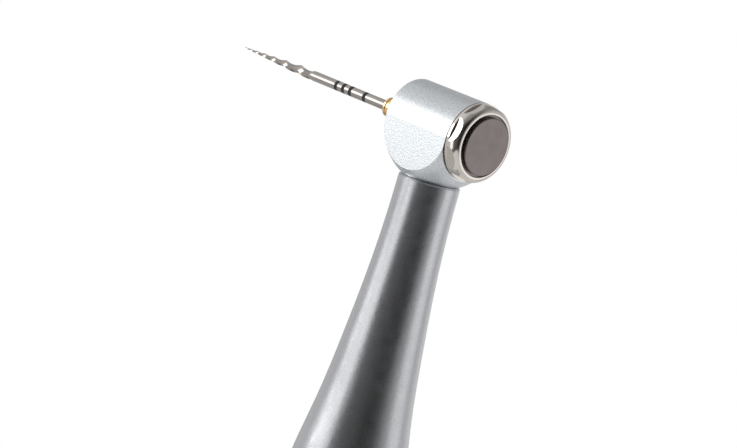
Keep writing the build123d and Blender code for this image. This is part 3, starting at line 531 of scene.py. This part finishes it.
class HANDPIECE_OT_panel(bpy.types.Operator):
    """Finishes the keys and the display, and adds the key symbols and the lit figures"""

    bl_idname = "handpiece.panel"
    bl_label = "Keys and Display"
    bl_options = {"REGISTER", "UNDO"}

    key_top = 12.6 * MM
    symbol_lift = 0.04 * MM
    # Symbols on the keys
    power_radius = 1.0 * MM
    power_opening = math.radians(64)
    power_bar_middle = 0.75 * MM
    power_bar_length = 1.1 * MM
    arc_points = 28
    arc_overlap = 1.1
    sign_length = 1.9 * MM
    start_radius = 1.55 * MM

    # Display: turns a minute, and the torque in tenths
    speed = "300"
    torque = "20"
    # Heights of the rows from the display's middle, then sizes as shares of a figure's height
    speed_row = 5.2 * MM
    rule_row = 2.0 * MM
    torque_row = -0.6 * MM
    level_row = -6.2 * MM
    figure_width = 0.46
    figure_stroke = 0.11
    speed_pitch = 0.72
    torque_pitch = 0.82
    torque_height = 0.75
    point_drop = 0.4
    # The torque's point, the line under the speed and the level bars
    point_size = 0.4 * MM
    rule_length = 6.0 * MM
    rule_stroke = 0.08 * MM
    level_count = 5
    level_pitch = 1.15 * MM
    level_width = 0.75 * MM
    level_low = 0.7 * MM
    level_step = 0.35 * MM
    lit_segments = {"0": "abcdef", "1": "bc", "2": "abged", "3": "abgcd", "4": "fgbc", "5": "afgcd",
                    "6": "afgedc", "7": "abc", "8": "abcdefg", "9": "abcdfg"}

    def bar(self, bm, middle, width, height, turn=0.0):
        """A thin upright bar on the panel, at (across, up) from the axis and the base."""
        made = bmesh.ops.create_cube(bm, size=1)["verts"]
        bmesh.ops.scale(bm, verts=made, vec=(2 * self.symbol_lift, width, height))
        bmesh.ops.rotate(bm, verts=made, matrix=Matrix.Rotation(turn, 3, "X"))
        bmesh.ops.translate(bm, verts=made, vec=(0, *middle))

    def arc(self, bm, radius, stroke, opening):
        """A ring on the panel with an opening at its top."""
        step = (2 * math.pi - opening) / self.arc_points
        for i in range(self.arc_points + 1):
            turn = opening / 2 + i * step
            middle = (radius * math.sin(turn), radius * math.cos(turn))
            self.bar(bm, middle, radius * step * self.arc_overlap, stroke, -turn)

    def power_symbol(self, bm, height, stroke):
        self.arc(bm, self.power_radius, stroke, self.power_opening)
        self.bar(bm, (0, self.power_bar_middle), stroke, self.power_bar_length)
        bmesh.ops.translate(bm, verts=bm.verts, vec=(0, 0, height))

    def key_symbol(self, name, body, material, draw):
        """Prints a symbol on the top of a key."""
        lo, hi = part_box(name)
        bm = bmesh.new()
        draw(bm, (lo.z + hi.z) / 2, bpy.context.scene.handpiece_sizes.symbol_stroke)
        bmesh.ops.translate(bm, verts=bm.verts, vec=(self.key_top, 0, 0))
        bmesh.ops.recalc_face_normals(bm, faces=bm.faces)
        return piece_from(bm, name.replace("button", "symbol"), body, material)

    def minus_symbol(self, bm, height, stroke):
        self.bar(bm, (0, height), self.sign_length, stroke)

    def plus_symbol(self, bm, height, stroke):
        self.bar(bm, (0, height), self.sign_length, stroke)
        self.bar(bm, (0, height), stroke, self.sign_length)

    def start_symbol(self, bm, height, stroke):
        """A triangle that points up the handle."""
        made = bmesh.ops.create_circle(bm, cap_ends=True, segments=3, radius=self.start_radius)["verts"]
        bmesh.ops.rotate(bm, verts=made, matrix=Matrix.Rotation(math.pi / 2, 3, "Y"))
        tip_turn = max(math.atan2(vert.co.y, vert.co.z) for vert in made)
        bmesh.ops.rotate(bm, verts=made, matrix=Matrix.Rotation(tip_turn, 3, "X"))
        sides = bmesh.ops.extrude_face_region(bm, geom=bm.faces[:])["geom"]
        bmesh.ops.translate(bm, verts=verts_in(sides), vec=(self.symbol_lift, 0, 0))
        bmesh.ops.translate(bm, verts=bm.verts, vec=(0, 0, height))

    def figure(self, bm, digit, centre, height):
        """One seven-segment figure."""
        width = height * self.figure_width
        stroke = height * self.figure_stroke
        reach = width / 2
        places = {"a": (0, height / 2, True), "g": (0, 0, True), "d": (0, -height / 2, True),
                  "f": (-reach, height / 4, False), "b": (reach, height / 4, False),
                  "e": (-reach, -height / 4, False), "c": (reach, -height / 4, False)}
        for segment in self.lit_segments[digit]:
            across, up, lying = places[segment]
            size = (width - stroke, stroke) if lying else (stroke, height / 2 - stroke)
            self.bar(bm, (centre[0] + across, centre[1] + up), *size)

    def row(self, bm, digits, middle, height, pitch):
        """Figures side by side, centred across the display."""
        for i, digit in enumerate(digits):
            across = (i - (len(digits) - 1) / 2) * pitch
            self.figure(bm, digit, (across, middle), height)

    def screen(self, sizes, material):
        """Speed over torque, with a level bar under them."""
        lo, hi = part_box("display_module")
        middle = (lo.z + hi.z) / 2
        bm = bmesh.new()
        tall = sizes.digit_height
        self.row(bm, self.speed, middle + self.speed_row, tall, tall * self.speed_pitch)
        torque_middle = middle + self.torque_row
        self.row(bm, self.torque, torque_middle, tall * self.torque_height, tall * self.torque_pitch)
        self.bar(bm, (0, torque_middle - tall * self.point_drop), self.point_size, self.point_size)
        for i in range(self.level_count):
            across = (i - (self.level_count - 1) / 2) * self.level_pitch
            self.bar(bm, (across, middle + self.level_row), self.level_width,
                     self.level_low + i * self.level_step)
        self.bar(bm, (0, middle + self.rule_row), self.rule_length, self.rule_stroke)
        bmesh.ops.translate(bm, verts=bm.verts, vec=(hi.x + self.symbol_lift, 0, 0))
        bmesh.ops.recalc_face_normals(bm, faces=bm.faces)
        return piece_from(bm, "display_figures", "handle", material)

    def execute(self, context):
        sizes, colours = settings()
        keys = Finish("soft_keys", 0.2 * MM)
        keys.worn_colour(colours.keys, 1.6, 0.05).roughness(0.48, 0.05).grain(0.14 * MM, 0.004 * MM)
        paint(keys.done(), "power_button", "minus_button", "plus_button")
        start = Finish("start_key", 0.25 * MM)
        start.worn_colour(colours.start_key, 1.6, 0.05).roughness(0.45, 0.05)
        start.grain(0.14 * MM, 0.004 * MM)
        paint(start.done(), "start_button")
        white = Finish("key_print", 0.02 * MM)
        white.colour(colours.symbols, 0.03, 2.0).roughness(0.45, 0.05, 3.0)
        key_print = white.done()
        self.key_symbol("power_button", "power_key", key_print, self.power_symbol)
        self.key_symbol("minus_button", "minus_key", key_print, self.minus_symbol)
        self.key_symbol("plus_button", "plus_key", key_print, self.plus_symbol)
        self.key_symbol("start_button", "start_key", key_print, self.start_symbol)

        black = Finish("display_black", 0.1 * MM)
        black.colour(colours.screen, 0.1, 0.4).roughness(0.12, 0.03)
        paint(black.done(), "display_module")
        glass = Finish("display_glass", 0.12 * MM)
        glass.set({"Transmission Weight": 1.0, "IOR": 1.46}).roughness(0.03, 0.015, 0.3)
        glass.colour(colours.window, 0.02, 0.2)
        paint(glass.done(), "display_window")
        glow = Finish("display_glow", 0.01 * MM)
        lit = glow.patchy(colours.screen_glow, 0.05, 1.0)
        glow.link("Base Color", lit).link("Emission Color", lit).roughness(0.4, 0.05)
        glow.set({"Emission Strength": 0.9})
        self.screen(sizes, glow.done())
        switches = Finish("switch_plastic", 0.1 * MM)
        switches.colour(colours.switches, 0.1, 0.6).roughness(0.5, 0.05).grain(0.15 * MM, 0.004 * MM)
        paint(switches.done(), "panel_switches")
        return {"FINISHED"}


class HANDPIECE_OT_works(bpy.types.Operator):
    """Finishes the gears, shafts, bearings, motor and battery inside"""

    bl_idname = "handpiece.works"
    bl_label = "Works Inside"
    bl_options = {"REGISTER", "UNDO"}

    # Name, colour, roughness, grain size and depth in mm, then the nodes
    metals = (
        ("gear_steel", (0.50, 0.50, 0.52), 0.26, 0.10, 0.0015,
         ("spindle_pinion", "neck_crown_gear", "neck_knee_gear", "rear_knee_gear")),
        ("bearing_steel", (0.68, 0.69, 0.71), 0.12, 0.06, 0.0003,
         ("head_bearing_inner_races", "head_bearing_outer_races", "head_bearing_balls",
          "rear_bearing_inner_races", "rear_bearing_outer_races", "rear_bearing_balls")),
        ("ground_shaft", (0.58, 0.58, 0.60), 0.20, 0.07, 0.0006,
         ("chuck_spindle", "neck_shaft", "rear_shaft", "motor_shaft", "drive_dog")),
        ("spring_steel", (0.60, 0.60, 0.61), 0.22, 0.08, 0.0008,
         ("button_spring", "chuck_jaws", "latch_ring")),
        ("sintered_bronze", (0.60, 0.40, 0.22), 0.42, 0.16, 0.006, ("neck_bushes", "motor_bushes")),
        ("machined_alloy", (0.70, 0.71, 0.73), 0.26, 0.12, 0.0015, ("coupling_nose", "bearing_spacer")),
        ("motor_steel", (0.50, 0.51, 0.53), 0.32, 0.15, 0.002, ("motor_can",)),
        ("rotor_magnet", (0.30, 0.31, 0.33), 0.35, 0.14, 0.002, ("motor_rotor",)),
        ("contact_gold", (0.88, 0.66, 0.32), 0.22, 0.10, 0.001, ("charge_contacts", "battery_contact")),
    )

    board_pattern = {"Scale": 0.9, "Mortar Size": 0.035, "Mortar": (0.05, 0.26, 0.12, 1),
                     "Color1": (0.012, 0.11, 0.05, 1), "Color2": (0.016, 0.14, 0.065, 1)}
    wire_count = 150.0
    wire_depth = 0.05 * MM
    # Painted shade: the colour runs from dark in the gap between two wires to the lighter copper on top of
    # a wire
    wire_shade_colours = ((0, (0.30, 0.10, 0.04)), (1, (0.80, 0.36, 0.18)))

    def wound_copper(self):
        """Enamelled wire: fine lengthways turns around the handle's axis, with painted shade darkening the
        gaps between the turns.
        """
        copper = Finish("wound_copper", 0.05 * MM, 1.0)
        axes = add(copper.tree, "ShaderNodeSeparateXYZ", {0: copper.place})
        around = math_node(copper.tree, "ARCTAN2", axes.outputs[1], axes.outputs[0])
        wires = math_node(copper.tree, "SINE",
                          math_node(copper.tree, "MULTIPLY", around, self.wire_count))
        copper.heights.append((wires, self.wire_depth))
        # Painted shade: the colour darkens where the wire's bump sinks into the gaps between the turns
        painted_gap_shade = mapped(copper.tree, wires, -1, 1, 0, 1)
        copper.link("Base Color", ramp(copper.tree, painted_gap_shade, self.wire_shade_colours))
        copper.roughness(0.28, 0.05)
        return copper.done()

    def solder_mask(self):
        """Green board with a pattern of lighter tracks."""
        board = Finish("solder_mask", 0.05 * MM)
        cells = add(board.tree, "ShaderNodeTexBrick", {"Vector": board.place, **self.board_pattern})
        board.link("Base Color", cells.outputs["Color"])
        board.roughness(0.3, 0.05).grain(0.2 * MM, 0.003 * MM)
        return board.done()

    def cell_wrap(self, colours):
        """Shrink wrap on the battery, creased a little along its length."""
        wrap = Finish("cell_wrap", 0.2 * MM)
        wrap.colour(colours.battery, 0.06, 0.2).roughness(0.3, 0.05)
        wrap.grain(1.4 * MM, 0.02 * MM, stretch=(1, 1, 0.15))
        wrap.set({"Coat Weight": 0.4})
        return wrap.done()

    def execute(self, context):
        colours = context.scene.handpiece_colours
        for name, colour, rough, size, depth, nodes in self.metals:
            metal = Finish(name, 0.03 * MM, 1.0)
            metal.colour(colour, 0.06, 0.8).roughness(rough, 0.04, 1.5)
            metal.grain(size * MM, depth * MM, 2.0)
            paint(metal.done(), *nodes)
        paint(self.wound_copper(), "motor_winding")
        paint(self.solder_mask(), "circuit_board")
        paint(self.cell_wrap(colours), "battery_cell")
        chassis = Finish("chassis_plastic", 0.15 * MM)
        chassis.colour(colours.chassis, 0.08, 0.3).roughness(0.5, 0.05).grain(0.25 * MM, 0.006 * MM)
        paint(chassis.done(), "chassis")
        return {"FINISHED"}


class HANDPIECE_OT_studio(bpy.types.Operator):
    """Sets the floor, the soft lights and the camera"""

    bl_idname = "handpiece.studio"
    bl_label = "Studio"
    bl_options = {"REGISTER", "UNDO"}

    # The photograph's view, in the head's own axes: millimetres and directions
    camera_place = (217.568, -231.114, 38.536)
    camera_right = (0.65863, 0.70241, 0.26988)
    camera_up = (-0.3032, -0.08053, 0.94952)
    camera_back = (0.68868, -0.7072, 0.15993)
    focal_pixels = 2800
    image_width = 737
    sensor_width = 36
    nearest_seen = 0.01
    floor_radius = 0.24
    floor_points = 96
    paper_white = (0.86, 0.86, 0.86)

    # Lamps: direction in camera axes (right, up, back), then distance from the head, size, brightness
    lamps = (
        ("key", (-0.89, 0.45, 0.05), 0.46, 0.24, 0.24, 2.4),
        ("strip", (-0.90, 0.0, 0.43), 0.46, 0.17, 0.34, 0.82),
        ("fill", (0.90, -0.42, 0.0), 0.44, 0.24, 0.24, 0.5),
    )
    # What polished metal sees of the room: direction in camera axes, inner and outer angle, strength
    walls = (
        ((0.0, 0.0, -1.0), 12, 62, 0.52),
        ((-0.95, 0.1, -0.2), 20, 60, 0.50),
        ((-0.45, 0.85, -0.2), 10, 45, 0.38),
        ((-0.887, 0.0, 0.46), 10, 78, 0.10),
        ((0.85, -0.3, -0.25), 20, 72, 0.55),
        ((0.0, 1.0, 0.0), 20, 70, 0.30),
    )
    # The room between the walls
    room = 0.02
    # Even light on matt surfaces
    fill_light = 0.72

    def view_axes(self):
        """Columns are the camera's right, up and back in the frame."""
        columns = [HEAD.to_3x3() @ Vector(axis).normalized()
                   for axis in (self.camera_right, self.camera_up, self.camera_back)]
        return Matrix(columns).transposed()

    def camera(self, scene):
        data = bpy.data.cameras.new("photo_camera")
        data.sensor_width = self.sensor_width
        data.lens = self.focal_pixels / self.image_width * self.sensor_width
        data.clip_start = self.nearest_seen
        camera = bpy.data.objects.new("photo_camera", data)
        scene.collection.objects.link(camera)
        place = Matrix.Translation(HEAD @ (Vector(self.camera_place) * MM))
        camera.matrix_world = place @ self.view_axes().to_4x4()
        scene.camera = camera

    def lamp(self, scene, name, direction, distance, width, height, brightness):
        data = bpy.data.lights.new(name, "AREA")
        data.shape = "RECTANGLE"
        data.size = width
        data.size_y = height
        data.energy = brightness * math.pi * width * height
        lamp = bpy.data.objects.new(name, data)
        scene.collection.objects.link(lamp)
        towards = (self.view_axes() @ Vector(direction)).normalized()
        turn = towards.to_track_quat("Z", "Y").to_matrix().to_4x4()
        lamp.matrix_world = Matrix.Translation(HEAD.translation + towards * distance) @ turn
        lamp.visible_camera = False

    def world(self, scene):
        """White behind everything, soft walls in the reflections, and an even fill on matt surfaces."""
        world = bpy.data.worlds.new("studio")
        scene.world = world
        world.use_nodes = True
        world.cycles.sampling_method = "NONE"
        tree = world.node_tree
        direction = add(tree, "ShaderNodeTexCoord").outputs["Generated"]
        seen = self.room
        for wall, inner, outer, strength in self.walls:
            towards = (self.view_axes() @ Vector(wall)).normalized()
            inside = mapped(tree, dot(tree, direction, towards), math.cos(math.radians(outer)),
                            math.cos(math.radians(inner)), 0.0, strength, smooth=True)
            seen = math_node(tree, "ADD", seen, inside)
        path = add(tree, "ShaderNodeLightPath").outputs
        matt = mapped(tree, path["Is Diffuse Ray"], 0, 1, seen, self.fill_light)
        strength = mapped(tree, path["Is Camera Ray"], 0, 1, matt, 1.0)
        tree.links.new(strength, tree.nodes["Background"].inputs["Strength"])
        tree.nodes["Background"].inputs["Color"].default_value = (1, 1, 1, 1)

    def floor(self, scene):
        bm = bmesh.new()
        bmesh.ops.create_circle(bm, cap_ends=True, segments=self.floor_points, radius=self.floor_radius)
        mesh = bpy.data.meshes.new("floor")
        bm.to_mesh(mesh)
        bm.free()
        floor = bpy.data.objects.new("floor", mesh)
        scene.collection.objects.link(floor)
        paper = Finish("paper_floor", 0.1 * MM)
        paper.colour(self.paper_white, 0.005, 0.02).roughness(0.8, 0.02)
        mesh.materials.append(paper.done())

    def execute(self, context):
        scene = context.scene
        scene.view_settings.view_transform = "Standard"
        self.camera(scene)
        for lamp in self.lamps:
            self.lamp(scene, *lamp)
        self.world(scene)
        self.floor(scene)
        return {"FINISHED"}


class HANDPIECE_PT_parts(bpy.types.Panel):
    """Lists the handpiece's groups of pieces, its sizes and its colours"""

    bl_label = "Handpiece"
    bl_idname = "HANDPIECE_PT_parts"
    bl_space_type = "VIEW_3D"
    bl_region_type = "UI"
    bl_category = "Handpiece"

    def draw(self, context):
        for operator in OPERATORS:
            self.layout.operator(operator.bl_idname)
        for group in settings():
            box = self.layout.box()
            for name in group.__annotations__:
                box.prop(group, name)


OPERATORS = (HANDPIECE_OT_studio, HANDPIECE_OT_head, HANDPIECE_OT_file, HANDPIECE_OT_casing,
             HANDPIECE_OT_panel, HANDPIECE_OT_works)
CLASSES = (HandpieceSizes, HandpieceColours, *OPERATORS, HANDPIECE_PT_parts)


def register():
    for cls in CLASSES:
        bpy.utils.register_class(cls)
    bpy.types.Scene.handpiece_sizes = bpy.props.PointerProperty(type=HandpieceSizes)
    bpy.types.Scene.handpiece_colours = bpy.props.PointerProperty(type=HandpieceColours)


def unregister():
    del bpy.types.Scene.handpiece_colours
    del bpy.types.Scene.handpiece_sizes
    for cls in reversed(CLASSES):
        bpy.utils.unregister_class(cls)


def main():
    register()
    bpy.ops.handpiece.studio()
    bpy.ops.handpiece.head()
    bpy.ops.handpiece.file()
    bpy.ops.handpiece.casing()
    bpy.ops.handpiece.panel()
    bpy.ops.handpiece.works()


if __name__ == "__main__":
    main()
